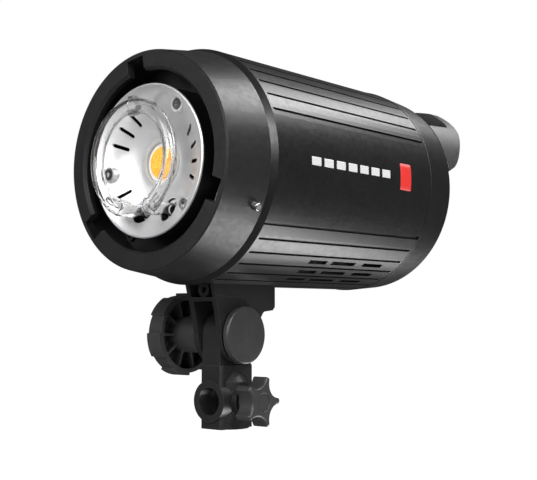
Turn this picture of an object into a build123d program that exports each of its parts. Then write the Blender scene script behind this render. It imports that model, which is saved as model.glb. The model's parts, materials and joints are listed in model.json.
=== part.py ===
from build123d import *
import os
from math import cos, radians, sin, sqrt

# Monolight strobe: a cylindrical flash head with a three-lug accessory bayonet at the front,
# on a tilting stand adapter. Millimetres. +Z is up and the head points along -Y.
# The origin is the mouth of the stand socket, on its axis.

# ---------------------------------------------------------------- driving dimensions
# Places along the head are depths behind the front face of the bayonet ring.
HEAD_Z = 150.0
FRONT_Y = -67.0
PIVOT_Z = 54.0
PIVOT_DEPTH = -FRONT_Y
PIVOT_DROP = PIVOT_Z - HEAD_Z

RING_FRONT_R = 61.0
RING_REAR_R = 65.4
RING_LENGTH = 29.4
THROAT_R = 50.2
THROAT_CHAMFER = 1.7
FLANGE_T = 5.0
CAVITY_R = 58.4
RABBET_R = 61.4
NOTCH_W = 13.0
NOTCH_START_R = 30.0
NOTCH_ANGLES = (98.9, -21.1, -141.1)

TUBE_R = 67.4
TUBE_WALL = 3.0
TUBE_START = 33.5
TUBE_END = 186.7
TUBE_BORE_R = TUBE_R - TUBE_WALL
SPIGOT_R = TUBE_BORE_R - 0.1
PARTING_ANGLE = -31.5
PARTING_GROOVE_W = 2.4
GROOVE_W = 1.6
GROOVE_DEPTH = 1.2
GROOVE_CUT = 4.0
GROOVE_END_GAP = 1.8
PANEL_TOP_ANGLE = 23.0
UPPER_GROOVES = 17
LOWER_GROOVES = 13
VENT_W = 3.2
VENT_SPANS = ((93.0, 110.0), (115.0, 139.0), (147.0, 168.0))
VENT_ROWS = (2, 3, 4)

COLLAR_END = 214.2
COLLAR_END_R = 65.7
COLLAR_BORE_R = 61.5
COLLAR_SPIGOT_START = 180.5
PANEL_LEDGE_R = 58.8
PANEL_LEDGE_T = 3.0
PANEL_DEPTH = 210.2
PANEL_T = 3.0
PANEL_BACK = PANEL_DEPTH + PANEL_T

HANDLE_BACK = 256.5
HANDLE_TOP = 61.3
HANDLE_CROWN_R = 136.6
HANDLE_T = 15.0
HANDLE_BAR_FRONT = 244.5

BULKHEAD_DEPTH = 26.6
BULKHEAD_T = 2.6
BULKHEAD_HOLE_R = 30.0
BULKHEAD_SCREW_R = 54.0
BULKHEAD_SCREW_ANGLES = (45, 135, 225, 315)
BOLT_WINDOW_W = 9.0

DISH_R = 42.5
DISH_RIM_DEPTH = 1.2
DISH_FLOOR_DEPTH = 12.6
DISH_T = 1.0
SLOT_ANGLES = (141.0, 159.0, 123.0, -147.0, 30.0, 13.0, -4.0, -21.0)
LEG_X = 10.0
LEG_Z = -27.0
DISH_HOLE_R = 6.6
DISH_BOSS_FRONT = 3.0
DISH_BOSS_R = 4.3
DISH_BOSS_H = 4.0
DISH_SCREW_SEAT = 4.6
DISH_SCREW_SPOTS = ((21.2, 29.1), (26.6, -25.5), (-33.3, -4.9))

FLASH_RING_R = 28.6
FLASH_TUBE_R = 4.2
FLASH_DEPTH = -9.0
TUBE_END_ANGLE = -90 + 20.0
TUBE_END_X = FLASH_RING_R * cos(radians(TUBE_END_ANGLE))
TUBE_END_Z = FLASH_RING_R * sin(radians(TUBE_END_ANGLE))

PIN_ANGLE = -24.5
PIN_DEPTH = 23.5
PIN_R = 2.4
RUN_FIT = 0.05

BRACKET_HALF = 11.25
CHEEK_INNER = 7.6
CHEEK_STEP = 0.4
CHEEK_R = 16.8
TONGUE_HALF = 6.9
TONGUE_R = 13.5
PIVOT_R = 4.0

BLOCK_HALF_X = 8.5
BLOCK_HALF_Y = 13.8
SHELF_Z = 36.5
SOCKET_R = 8.1
SOCKET_DEPTH = 34.0
CROSS_Z = 16.0
CROSS_HALF = 15.5
CROSS_R = 11.9
CLAMP_R = 4.0
CLAMP_BOSS_X = 15.0

KNOB_FAR_X = -42.6
KNOB_RIM_X = -31.3
KNOB_R = 24.9
KNOB_HUB_R = 11.0
KNOB_HUB_X = -13.7

STAR_R = 14.7
STAR_NEAR_X = 18.0
STAR_FAR_X = 28.6

HEAD_AXIS = Axis((0, 0, HEAD_Z), (0, 1, 0))
# Local x runs back along the head, local y is the distance from its axis.
HEAD_SIDE = Plane(origin=(0, FRONT_Y, HEAD_Z), x_dir=(0, 1, 0), z_dir=(1, 0, 0))

os.makedirs("parts", exist_ok=True)


def head_face(depth):
    """A cross-section of the head, seen from the front: local x is +X, local y is +Z."""
    return Plane(origin=(0, FRONT_Y + depth, HEAD_Z), x_dir=(1, 0, 0), z_dir=(0, -1, 0))


def radial_face(angle, radius, depth):
    """A face on the head's side, facing outwards: local x runs back along the head."""
    across = cos(radians(angle))
    up = sin(radians(angle))
    origin = (radius * across, FRONT_Y + depth, HEAD_Z + radius * up)
    return Plane(origin=origin, x_dir=(0, 1, 0), z_dir=(across, 0, up))


def radial_side(angle):
    """A lengthwise section at one angle: local x is the depth, local y the radius."""
    across = cos(radians(angle))
    up = sin(radians(angle))
    return Plane(origin=(0, FRONT_Y, HEAD_Z), x_dir=(0, 1, 0), z_dir=(up, 0, -across))


def side_face(x, z=0.0):
    """A plane square to X: local x is +Y and local y is +Z."""
    return Plane(origin=(x, 0, z), x_dir=(0, 1, 0), z_dir=(1, 0, 0))


def screw_solids(planes, shank_r, length, head_r, head_t):
    """Socket-head screws: each head stands on its plane and the shank goes below it."""
    with BuildPart() as screws:
        with BuildSketch(*planes):
            Circle(head_r)
            RegularPolygon(radius=head_r * 0.5, side_count=6, mode=Mode.SUBTRACT)
        extrude(amount=head_t)
        with BuildSketch(*planes):
            Circle(head_r)
        extrude(amount=head_t * 0.35)
        with BuildSketch(*planes):
            Circle(shank_r)
        extrude(amount=-length)
    return screws.part


def save(part, name):
    part.label = name
    export_step(part, f"parts/{name}.step")


upper_angles = [
    PANEL_TOP_ANGLE + i * (180.0 - 2 * PANEL_TOP_ANGLE) / (UPPER_GROOVES - 1)
    for i in range(UPPER_GROOVES)
]
lower_span = 180.0 + 2 * PARTING_ANGLE
lower_angles = [
    PARTING_ANGLE - (i + 1) * lower_span / (LOWER_GROOVES + 1) for i in range(LOWER_GROOVES)
]

# ---------------------------------------------------------------- bayonet ring
with BuildPart() as bayonet_ring:
    with BuildSketch(HEAD_SIDE):
        with BuildLine():
            Polyline(
                (0, THROAT_R + THROAT_CHAMFER),
                (0, RING_FRONT_R - 0.8),
                (0.8, RING_FRONT_R + 0.12),
                (RING_LENGTH, RING_REAR_R),
                (RING_LENGTH, RABBET_R),
                (BULKHEAD_DEPTH, RABBET_R),
                (BULKHEAD_DEPTH, CAVITY_R),
                (FLANGE_T, CAVITY_R),
                (FLANGE_T, THROAT_R),
                (THROAT_CHAMFER, THROAT_R),
                close=True,
            )
        make_face()
    revolve(axis=HEAD_AXIS)
    with BuildSketch(head_face(0)):
        for angle in NOTCH_ANGLES:
            with Locations(Location((0, 0, 0), angle)):
                with Locations(((CAVITY_R + NOTCH_START_R) / 2, 0)):
                    Rectangle(CAVITY_R - NOTCH_START_R, NOTCH_W)
    extrude(amount=-FLANGE_T, mode=Mode.SUBTRACT)
    with BuildSketch(radial_face(PIN_ANGLE, 50, PIN_DEPTH)):
        Circle(PIN_R + RUN_FIT)
    extrude(amount=20, mode=Mode.SUBTRACT)
save(bayonet_ring.part, "bayonet_ring")

# ---------------------------------------------------------------- front bulkhead
with BuildPart() as front_bulkhead:
    with BuildSketch(head_face(BULKHEAD_DEPTH)):
        Circle(RABBET_R - 0.1)
        Circle(BULKHEAD_HOLE_R, mode=Mode.SUBTRACT)
        with PolarLocations(BULKHEAD_SCREW_R, 4, start_angle=45):
            Circle(1.7, mode=Mode.SUBTRACT)
        with PolarLocations(36.5, 3, start_angle=90):
            Circle(1.7, mode=Mode.SUBTRACT)
        with Locations(Location((0, 0, 0), PIN_ANGLE)):
            with Locations((51.5, 0)):
                Rectangle(14, BOLT_WINDOW_W, mode=Mode.SUBTRACT)
    extrude(amount=-BULKHEAD_T)
save(front_bulkhead.part, "front_bulkhead")

# ---------------------------------------------------------------- front flange of the housing
FLANGE_WEB_BACK = 32.4
FLANGE_WEB_R = 50.0
FLANGE_SPIGOT_END = 39.5
FLANGE_BORE_R = 61.5
with BuildPart() as front_flange:
    with BuildSketch(HEAD_SIDE):
        with BuildLine():
            Polyline(
                (RING_LENGTH, FLANGE_WEB_R),
                (RING_LENGTH, RING_REAR_R - 0.3),
                (29.8, RING_REAR_R),
                (TUBE_START, TUBE_R),
                (TUBE_START, SPIGOT_R),
                (FLANGE_SPIGOT_END, SPIGOT_R),
                (FLANGE_SPIGOT_END, FLANGE_BORE_R),
                (FLANGE_WEB_BACK, FLANGE_BORE_R),
                (FLANGE_WEB_BACK, FLANGE_WEB_R),
                close=True,
            )
        make_face()
    revolve(axis=HEAD_AXIS)
    with BuildSketch(head_face(RING_LENGTH)):
        with Locations(Location((0, 0, 0), PIN_ANGLE)):
            with Locations((53.5, 0)):
                Rectangle(10, BOLT_WINDOW_W)
        with PolarLocations(BULKHEAD_SCREW_R, 4, start_angle=45):
            Circle(1.55)
    extrude(amount=-(FLANGE_WEB_BACK - RING_LENGTH), mode=Mode.SUBTRACT)
save(front_flange.part, "front_flange")

bulkhead_screw_planes = [
    Plane(
        origin=(
            BULKHEAD_SCREW_R * cos(radians(a)),
            FRONT_Y + BULKHEAD_DEPTH,
            HEAD_Z + BULKHEAD_SCREW_R * sin(radians(a)),
        ),
        x_dir=(1, 0, 0),
        z_dir=(0, -1, 0),
    )
    for a in BULKHEAD_SCREW_ANGLES
]
save(screw_solids(bulkhead_screw_planes, 1.5, 7.5, 3.0, 2.4), "bulkhead_screws")


# ---------------------------------------------------------------- tubular housing in two shells
PARTING_Z = TUBE_R * sin(radians(PARTING_ANGLE))


def housing_shell(side):
    """The tubular housing above (side 1) or below (side -1) the flat parting plane."""
    with BuildPart() as shell:
        with BuildSketch(head_face(TUBE_START)):
            Circle(TUBE_R)
            Circle(TUBE_BORE_R, mode=Mode.SUBTRACT)
            with Locations((0, PARTING_Z + side * TUBE_R)):
                Rectangle(3 * TUBE_R, 2 * TUBE_R, mode=Mode.INTERSECT)
        extrude(amount=-(TUBE_END - TUBE_START))
    return shell.part


GROOVE_LENGTH = TUBE_END - TUBE_START - 2 * GROOVE_END_GAP
GROOVE_MIDDLE = (TUBE_START + TUBE_END) / 2
groove_floor = TUBE_R - GROOVE_DEPTH
parting_planes = [
    radial_face(angle, groove_floor, GROOVE_MIDDLE) for angle in (PARTING_ANGLE, 180 - PARTING_ANGLE)
]

with BuildPart() as upper_shell:
    add(housing_shell(1))
    with BuildSketch(*[radial_face(a, groove_floor, GROOVE_MIDDLE) for a in upper_angles]):
        SlotOverall(GROOVE_LENGTH, GROOVE_W)
    extrude(amount=GROOVE_CUT, mode=Mode.SUBTRACT)
    with BuildSketch(*parting_planes):
        Rectangle(TUBE_END - TUBE_START, PARTING_GROOVE_W)
    extrude(amount=GROOVE_CUT, mode=Mode.SUBTRACT)
save(upper_shell.part, "upper_shell")

vent_planes = []
for side in (0, 1):
    for row in VENT_ROWS:
        land = (lower_angles[row - 1] + lower_angles[row]) / 2
        angle = 180 - land if side else land
        for low, high in VENT_SPANS:
            vent_planes.append((radial_face(angle, TUBE_BORE_R - 2, (low + high) / 2), high - low))

BRACKET_SCREW_SPOTS = ((60.0, -5.5), (60.0, 5.5), (90.0, -5.5), (90.0, 5.5))
with BuildPart() as lower_shell:
    add(housing_shell(-1))
    with BuildSketch(*[radial_face(a, groove_floor, GROOVE_MIDDLE) for a in lower_angles]):
        SlotOverall(GROOVE_LENGTH, GROOVE_W)
    extrude(amount=GROOVE_CUT, mode=Mode.SUBTRACT)
    with BuildSketch(*parting_planes):
        Rectangle(TUBE_END - TUBE_START, PARTING_GROOVE_W)
    extrude(amount=GROOVE_CUT, mode=Mode.SUBTRACT)
    for plane, length in vent_planes:
        with BuildSketch(plane):
            Rectangle(length, VENT_W)
        extrude(amount=10, mode=Mode.SUBTRACT)
    with BuildSketch(Plane.XY.offset(HEAD_Z - TUBE_R - 2)):
        for depth, x in BRACKET_SCREW_SPOTS:
            with Locations((x, FRONT_Y + depth)):
                Circle(2.2)
    extrude(amount=10, mode=Mode.SUBTRACT)
save(lower_shell.part, "lower_shell")

# ---------------------------------------------------------------- rear collar
with BuildPart() as rear_collar:
    with BuildSketch(HEAD_SIDE):
        with BuildLine():
            Polyline(
                (COLLAR_SPIGOT_START, COLLAR_BORE_R),
                (COLLAR_SPIGOT_START, SPIGOT_R),
                (TUBE_END, SPIGOT_R),
                (TUBE_END, TUBE_R + 0.1),
                (TUBE_END + 0.5, TUBE_R + 0.4),
                (COLLAR_END - 1.2, COLLAR_END_R + 0.1),
                (COLLAR_END, COLLAR_END_R - 0.9),
                (COLLAR_END, COLLAR_BORE_R),
                (PANEL_DEPTH, COLLAR_BORE_R),
                (PANEL_DEPTH, PANEL_LEDGE_R),
                (PANEL_DEPTH - PANEL_LEDGE_T, PANEL_LEDGE_R),
                (PANEL_DEPTH - PANEL_LEDGE_T, COLLAR_BORE_R),
                close=True,
            )
        make_face()
    revolve(axis=HEAD_AXIS)
save(rear_collar.part, "rear_collar")

# ---------------------------------------------------------------- rear panel and what it carries
DISPLAY_W = 44.0
DISPLAY_H = 25.0
DISPLAY_Z = 22.0
BUTTON_XS = (-16.0, 0.0, 16.0)
BUTTON_Z = 1.0
BUTTON_W = 9.0
BUTTON_H = 5.5
BUTTON_NAMES = ("lamp_button", "sound_button", "cell_button")
BUTTON_GAP = 0.3
DIAL_Z = -17.0
DIAL_R = 9.5
TEST_X = 24.0
TEST_R = 4.2
SWITCH_X = -31.0
SWITCH_Z = -35.0
INLET_X = 6.0
INLET_Z = -42.5
FUSE_X = 37.0
FUSE_Z = -31.0
JACK_X = 41.0
JACK_Z = -8.0
SENSOR_X = -30.0
SENSOR_Z = -14.0
HANDLE_SCREW_R = 55.0
HANDLE_SCREW_SPOTS = tuple(
    (side * HANDLE_SCREW_R * cos(radians(a)), HANDLE_SCREW_R * sin(radians(a)))
    for side in (-1, 1)
    for a in (22, 38)
)
WINDOW_T = 1.6
ENCODER_SHAFT_R = 3.0
JACK_THREAD_R = 4.4
FUSE_THREAD_R = 4.9
KEY_BACK = PANEL_DEPTH - 0.4
KEY_LIP_T = 1.0
KEY_STEM_H = 1.8


def panel_spot(x, z, depth=PANEL_BACK):
    """A face of the rear panel seen from behind: local x is -X, local y is +Z, out is +Y."""
    return Plane(origin=(x, FRONT_Y + depth, HEAD_Z + z), x_dir=(-1, 0, 0), z_dir=(0, 1, 0))


with BuildPart() as rear_panel:
    with BuildSketch(head_face(PANEL_DEPTH)):
        Circle(COLLAR_BORE_R - 0.1)
        with Locations((0, DISPLAY_Z)):
            RectangleRounded(DISPLAY_W, DISPLAY_H, 2, mode=Mode.SUBTRACT)
        for x in BUTTON_XS:
            with Locations((x, BUTTON_Z)):
                RectangleRounded(BUTTON_W, BUTTON_H, 1.2, mode=Mode.SUBTRACT)
        with Locations((0, DIAL_Z)):
            Circle(3.6, mode=Mode.SUBTRACT)
        with Locations((TEST_X, DIAL_Z)):
            Circle(TEST_R, mode=Mode.SUBTRACT)
        with Locations((SENSOR_X, SENSOR_Z)):
            Circle(4.0, mode=Mode.SUBTRACT)
        with Locations((JACK_X, JACK_Z)):
            Circle(JACK_THREAD_R + 0.1, mode=Mode.SUBTRACT)
        with Locations((FUSE_X, FUSE_Z)):
            Circle(FUSE_THREAD_R + 0.1, mode=Mode.SUBTRACT)
        with Locations((SWITCH_X, SWITCH_Z)):
            Rectangle(19.2, 13.0, mode=Mode.SUBTRACT)
        with Locations((INLET_X, INLET_Z)):
            Rectangle(27.0, 19.6, mode=Mode.SUBTRACT)
        for x, z in HANDLE_SCREW_SPOTS:
            with Locations((x, z)):
                Circle(2.2, mode=Mode.SUBTRACT)
    extrude(amount=-PANEL_T)
    with BuildSketch(panel_spot(0, DISPLAY_Z)):
        RectangleRounded(DISPLAY_W + 5, DISPLAY_H + 5, 3)
        RectangleRounded(DISPLAY_W, DISPLAY_H, 2, mode=Mode.SUBTRACT)
    extrude(amount=0.8)
save(rear_panel.part, "rear_panel")

with BuildPart() as display_window:
    with BuildSketch(panel_spot(0, DISPLAY_Z, PANEL_BACK - WINDOW_T)):
        RectangleRounded(DISPLAY_W - 0.1, DISPLAY_H - 0.1, 1.9)
    extrude(amount=WINDOW_T)
save(display_window.part, "display_window")

CONTROL_BOARD_DEPTH = 204.0
CONTROL_BOARD_T = 1.6
CONTROL_BOARD_BACK = CONTROL_BOARD_DEPTH + CONTROL_BOARD_T
with BuildPart() as display_module:
    with BuildSketch(panel_spot(0, DISPLAY_Z, CONTROL_BOARD_BACK)):
        Rectangle(DISPLAY_W - 2, DISPLAY_H - 2)
    extrude(amount=PANEL_BACK - WINDOW_T - CONTROL_BOARD_BACK)
save(display_module.part, "display_module")

with BuildPart() as control_board:
    with BuildSketch(panel_spot(0, 8, CONTROL_BOARD_DEPTH)):
        Rectangle(68, 62)
    extrude(amount=CONTROL_BOARD_T)
    for x, z in ((BUTTON_XS[0], BUTTON_Z), (0, BUTTON_Z), (BUTTON_XS[-1], BUTTON_Z), (TEST_X, DIAL_Z)):
        with BuildSketch(panel_spot(x, z, CONTROL_BOARD_BACK)):
            Rectangle(4.5, 4.5)
        extrude(amount=0.3)
save(control_board.part, "control_board")


def push_button(x, z, name):
    """A key cap whose stem ends a little above its switch on the control board."""
    with BuildPart() as button:
        with BuildSketch(panel_spot(x, z, KEY_BACK)):
            RectangleRounded(BUTTON_W - 2 * BUTTON_GAP, BUTTON_H - 2 * BUTTON_GAP, 1.0)
        extrude(amount=PANEL_T + 1.9)
        top_edges = button.faces().sort_by(Axis.Y)[-1].edges()
        fillet(top_edges, radius=0.5)
        with BuildSketch(panel_spot(x, z, KEY_BACK)):
            RectangleRounded(BUTTON_W + 1.2, BUTTON_H + 1.2, 1.4)
        extrude(amount=-KEY_LIP_T)
        with BuildSketch(panel_spot(x, z, KEY_BACK - KEY_LIP_T)):
            Circle(1.5)
        extrude(amount=-KEY_STEM_H)
    save(button.part, name)


for x, name in zip(BUTTON_XS, BUTTON_NAMES):
    push_button(x, BUTTON_Z, name)

with BuildPart() as test_button:
    with BuildSketch(panel_spot(TEST_X, DIAL_Z, KEY_BACK)):
        Circle(TEST_R - BUTTON_GAP)
    extrude(amount=PANEL_T + 2.4)
    fillet(test_button.faces().sort_by(Axis.Y)[-1].edges(), radius=0.8)
    with BuildSketch(panel_spot(TEST_X, DIAL_Z, KEY_BACK)):
        Circle(TEST_R + 0.7)
    extrude(amount=-KEY_LIP_T)
    with BuildSketch(panel_spot(TEST_X, DIAL_Z, KEY_BACK - KEY_LIP_T)):
        Circle(1.6)
    extrude(amount=-KEY_STEM_H)
save(test_button.part, "test_button")

ENCODER_H = 4.2
ENCODER_COLLAR_H = 1.6
with BuildPart() as dial_encoder:
    with BuildSketch(panel_spot(0, DIAL_Z, CONTROL_BOARD_BACK)):
        Rectangle(11, 11)
    extrude(amount=ENCODER_H)
    with BuildSketch(panel_spot(0, DIAL_Z, CONTROL_BOARD_BACK + ENCODER_H)):
        Circle(ENCODER_SHAFT_R + 0.4)
    extrude(amount=ENCODER_COLLAR_H)
    with BuildSketch(panel_spot(0, DIAL_Z, CONTROL_BOARD_BACK + ENCODER_H + ENCODER_COLLAR_H)):
        Circle(ENCODER_SHAFT_R)
    extrude(amount=8.8)
save(dial_encoder.part, "dial_encoder")

DIAL_H = 11.5
DIAL_FRONT = PANEL_BACK + 0.4
with BuildPart() as mode_dial:
    with BuildSketch(panel_spot(0, DIAL_Z, DIAL_FRONT)):
        Circle(DIAL_R)
        with PolarLocations(DIAL_R + 0.25, 30):
            Circle(0.55, mode=Mode.SUBTRACT)
    extrude(amount=DIAL_H)
    fillet(mode_dial.faces().sort_by(Axis.Y)[-1].outer_wire().edges(), radius=0.45)
    with BuildSketch(panel_spot(0, DIAL_Z, DIAL_FRONT)):
        Circle(ENCODER_SHAFT_R + RUN_FIT)
    extrude(amount=7.4, mode=Mode.SUBTRACT)
    with BuildSketch(panel_spot(0, DIAL_Z + 6.2, DIAL_FRONT + DIAL_H)):
        SlotOverall(3.6, 1.0, rotation=90)
    extrude(amount=-0.6, mode=Mode.SUBTRACT)
save(mode_dial.part, "mode_dial")

with BuildPart() as cell_sensor:
    with BuildSketch(panel_spot(SENSOR_X, SENSOR_Z, PANEL_DEPTH - 1)):
        Circle(5.2)
    extrude(amount=1.0)
    with BuildSketch(panel_spot(SENSOR_X, SENSOR_Z, PANEL_DEPTH)):
        Circle(3.95)
    extrude(amount=PANEL_T + 3.0)
    fillet(cell_sensor.faces().sort_by(Axis.Y)[-1].edges(), radius=3.0)
save(cell_sensor.part, "cell_sensor")

JACK_R = 3.25
JACK_BODY_R = 5.6
JACK_BODY_L = 12.0
JACK_STUB_L = 6.4
with BuildPart() as sync_jack:
    with BuildSketch(panel_spot(JACK_X, JACK_Z, PANEL_DEPTH - JACK_BODY_L)):
        Circle(JACK_BODY_R)
        Circle(JACK_R, mode=Mode.SUBTRACT)
    extrude(amount=JACK_BODY_L)
    with BuildSketch(panel_spot(JACK_X, JACK_Z, PANEL_DEPTH)):
        Circle(JACK_THREAD_R)
        Circle(JACK_R, mode=Mode.SUBTRACT)
    extrude(amount=JACK_STUB_L)
    with BuildSketch(panel_spot(JACK_X, JACK_Z, PANEL_DEPTH - JACK_BODY_L)):
        Circle(JACK_BODY_R)
    extrude(amount=-1.2)
save(sync_jack.part, "sync_jack")

with BuildPart() as jack_nut:
    with BuildSketch(panel_spot(JACK_X, JACK_Z)):
        RegularPolygon(radius=7.0, side_count=6)
        Circle(JACK_THREAD_R, mode=Mode.SUBTRACT)
    extrude(amount=2.2)
save(jack_nut.part, "jack_nut")

FUSE_BODY_R = 6.6
FUSE_BODY_L = 26.0
FUSE_BORE_R = 3.4
with BuildPart() as fuse_holder:
    with BuildSketch(panel_spot(FUSE_X, FUSE_Z, PANEL_DEPTH - FUSE_BODY_L)):
        Circle(FUSE_BODY_R)
        Circle(FUSE_BORE_R, mode=Mode.SUBTRACT)
    extrude(amount=FUSE_BODY_L)
    with BuildSketch(panel_spot(FUSE_X, FUSE_Z, PANEL_DEPTH)):
        Circle(FUSE_THREAD_R)
        Circle(FUSE_BORE_R, mode=Mode.SUBTRACT)
    extrude(amount=PANEL_T)
    with BuildSketch(panel_spot(FUSE_X, FUSE_Z)):
        Circle(8.0)
        Circle(FUSE_BORE_R, mode=Mode.SUBTRACT)
    extrude(amount=1.6)
    with BuildSketch(panel_spot(FUSE_X, FUSE_Z, PANEL_DEPTH - FUSE_BODY_L)):
        Circle(FUSE_BODY_R)
    extrude(amount=-1.5)
save(fuse_holder.part, "fuse_holder")

FUSE_CAP_FRONT = PANEL_BACK + 1.8
FUSE_CAP_H = 4.4
with BuildPart() as fuse_cap:
    with BuildSketch(panel_spot(FUSE_X, FUSE_Z, FUSE_CAP_FRONT)):
        Circle(6.6)
        with PolarLocations(6.9, 12):
            Circle(0.6, mode=Mode.SUBTRACT)
    extrude(amount=FUSE_CAP_H)
    with BuildSketch(panel_spot(FUSE_X, FUSE_Z, FUSE_CAP_FRONT)):
        Circle(FUSE_BORE_R - RUN_FIT)
    extrude(amount=-9)
    with BuildSketch(panel_spot(FUSE_X, FUSE_Z, FUSE_CAP_FRONT + FUSE_CAP_H)):
        Rectangle(8.5, 1.3)
    extrude(amount=-1.0, mode=Mode.SUBTRACT)
save(fuse_cap.part, "fuse_cap")

SWITCH_AXIS_DEPTH = PANEL_BACK - 3.0
ROCKER_HALF = 7.3
SWITCH_HOLE = (16.4, 10.4)
SWITCH_BODY = (19.0, 12.8)
SWITCH_BODY_L = 9.0
SWITCH_PIN_R = 1.0
with BuildPart() as switch_frame:
    with BuildSketch(panel_spot(SWITCH_X, SWITCH_Z, PANEL_BACK)):
        RectangleRounded(21.6, 15.4, 1.0)
        Rectangle(*SWITCH_HOLE, mode=Mode.SUBTRACT)
    extrude(amount=1.4)
    with BuildSketch(panel_spot(SWITCH_X, SWITCH_Z, PANEL_DEPTH - SWITCH_BODY_L)):
        Rectangle(*SWITCH_BODY)
        Rectangle(*SWITCH_HOLE, mode=Mode.SUBTRACT)
    extrude(amount=PANEL_T + SWITCH_BODY_L)
    with BuildSketch(panel_spot(SWITCH_X, SWITCH_Z, PANEL_DEPTH - SWITCH_BODY_L)):
        Rectangle(*SWITCH_BODY)
    extrude(amount=-3)
    with Locations(Plane(origin=(SWITCH_X, FRONT_Y + SWITCH_AXIS_DEPTH, HEAD_Z + SWITCH_Z), z_dir=(0, 0, 1))):
        Cylinder(radius=SWITCH_PIN_R, height=SWITCH_BODY[1])
save(switch_frame.part, "switch_frame")

with BuildPart() as power_rocker:
    with BuildSketch(
        Plane(origin=(SWITCH_X, FRONT_Y, HEAD_Z + SWITCH_Z - 4.95), x_dir=(1, 0, 0), z_dir=(0, 0, 1))
    ):
        with BuildLine():
            Polyline(
                (-ROCKER_HALF, SWITCH_AXIS_DEPTH + 2.2),
                (-ROCKER_HALF, SWITCH_AXIS_DEPTH + 6.4),
                (0, SWITCH_AXIS_DEPTH + 5.2),
                (ROCKER_HALF, SWITCH_AXIS_DEPTH + 6.4),
                (ROCKER_HALF, SWITCH_AXIS_DEPTH + 2.2),
                (2.6, SWITCH_AXIS_DEPTH - 4.2),
                (-2.6, SWITCH_AXIS_DEPTH - 4.2),
                close=True,
            )
        make_face()
        with Locations((0, SWITCH_AXIS_DEPTH)):
            Circle(SWITCH_PIN_R + RUN_FIT, mode=Mode.SUBTRACT)
    extrude(amount=9.9)
save(power_rocker.part, "power_rocker")

INLET_RECESS = (24.2, 16.8)
INLET_BODY = (26.8, 19.4)
INLET_RECESS_L = 14.0
INLET_FLOOR_T = 3.0
BLADE_SIZE = (2.0, 4.0)
BLADE_SPOTS = ((-7.0, -2.0), (7.0, -2.0), (0.0, 2.0))
BLADE_LENGTH = 20.0
with BuildPart() as mains_inlet:
    with BuildSketch(panel_spot(INLET_X, INLET_Z, PANEL_BACK)):
        RectangleRounded(30.5, 23.0, 1.5)
        RectangleRounded(*INLET_RECESS, 2.0, mode=Mode.SUBTRACT)
    extrude(amount=1.6)
    with BuildSketch(panel_spot(INLET_X, INLET_Z, PANEL_DEPTH - INLET_RECESS_L)):
        Rectangle(*INLET_BODY)
        RectangleRounded(*INLET_RECESS, 2.0, mode=Mode.SUBTRACT)
    extrude(amount=PANEL_T + INLET_RECESS_L)
    with BuildSketch(panel_spot(INLET_X, INLET_Z, PANEL_DEPTH - INLET_RECESS_L)):
        Rectangle(*INLET_BODY)
    extrude(amount=-INLET_FLOOR_T)
    for x, z in BLADE_SPOTS:
        with BuildSketch(panel_spot(INLET_X + x, INLET_Z + z, PANEL_DEPTH - INLET_RECESS_L - INLET_FLOOR_T)):
            Rectangle(*BLADE_SIZE)
        extrude(amount=BLADE_LENGTH, mode=Mode.SUBTRACT)
save(mains_inlet.part, "mains_inlet")

with BuildPart() as inlet_blades:
    for x, z in BLADE_SPOTS:
        with BuildSketch(panel_spot(INLET_X + x, INLET_Z + z, PANEL_DEPTH - 22)):
            Rectangle(*BLADE_SIZE)
        extrude(amount=BLADE_LENGTH)
save(inlet_blades.part, "inlet_blades")

# ---------------------------------------------------------------- rear handle
with BuildPart() as handle:
    with BuildSketch(head_face(PANEL_BACK)):
        Circle(COLLAR_END_R)
        with Locations((0, HANDLE_TOP - HANDLE_CROWN_R)):
            Circle(HANDLE_CROWN_R, mode=Mode.INTERSECT)
        Circle(COLLAR_END_R - HANDLE_T, mode=Mode.SUBTRACT)
        Rectangle(2 * 37.5, 2 * (HANDLE_TOP - HANDLE_T), mode=Mode.SUBTRACT)
        with Locations((0, -60)):
            Rectangle(200, 140, mode=Mode.SUBTRACT)
    extrude(amount=-(HANDLE_BACK - PANEL_BACK))
    with BuildSketch(HEAD_SIDE):
        with BuildLine():
            Polyline((190, 10), (COLLAR_END, 10.5), (COLLAR_END + 8, 14.0))
            Spline(
                (COLLAR_END + 8, 14.0),
                (235, 25),
                (248, 38),
                (HANDLE_BACK, 53),
                tangents=[(1, 0.55), (0.12, 1)],
            )
            Polyline((HANDLE_BACK, 53), (HANDLE_BACK, 80), (190, 80), (190, 10))
        make_face()
    extrude(amount=100, both=True, mode=Mode.INTERSECT)
    with BuildSketch(HEAD_SIDE):
        with BuildLine():
            Polyline(
                (PANEL_BACK, 43),
                (HANDLE_BAR_FRONT - 3, 45.4),
                (HANDLE_BAR_FRONT, 48.4),
                (HANDLE_BAR_FRONT, 80),
                (PANEL_BACK, 80),
                close=True,
            )
        make_face()
    extrude(amount=100, both=True, mode=Mode.SUBTRACT)
    with BuildSketch(head_face(PANEL_BACK)):
        Circle(100)
        Circle(COLLAR_BORE_R - 0.2, mode=Mode.SUBTRACT)
    extrude(amount=-(COLLAR_END - PANEL_BACK), mode=Mode.SUBTRACT)
    for x, z in HANDLE_SCREW_SPOTS:
        with BuildSketch(panel_spot(x, z)):
            Circle(1.85)
        extrude(amount=12, mode=Mode.SUBTRACT)
save(handle.part, "handle")

handle_screw_planes = [
    Plane(origin=(x, FRONT_Y + PANEL_DEPTH, HEAD_Z + z), x_dir=(1, 0, 0), z_dir=(0, -1, 0))
    for x, z in HANDLE_SCREW_SPOTS
]
save(screw_solids(handle_screw_planes, 1.8, 12.5, 3.2, 2.4), "handle_screws")

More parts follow.
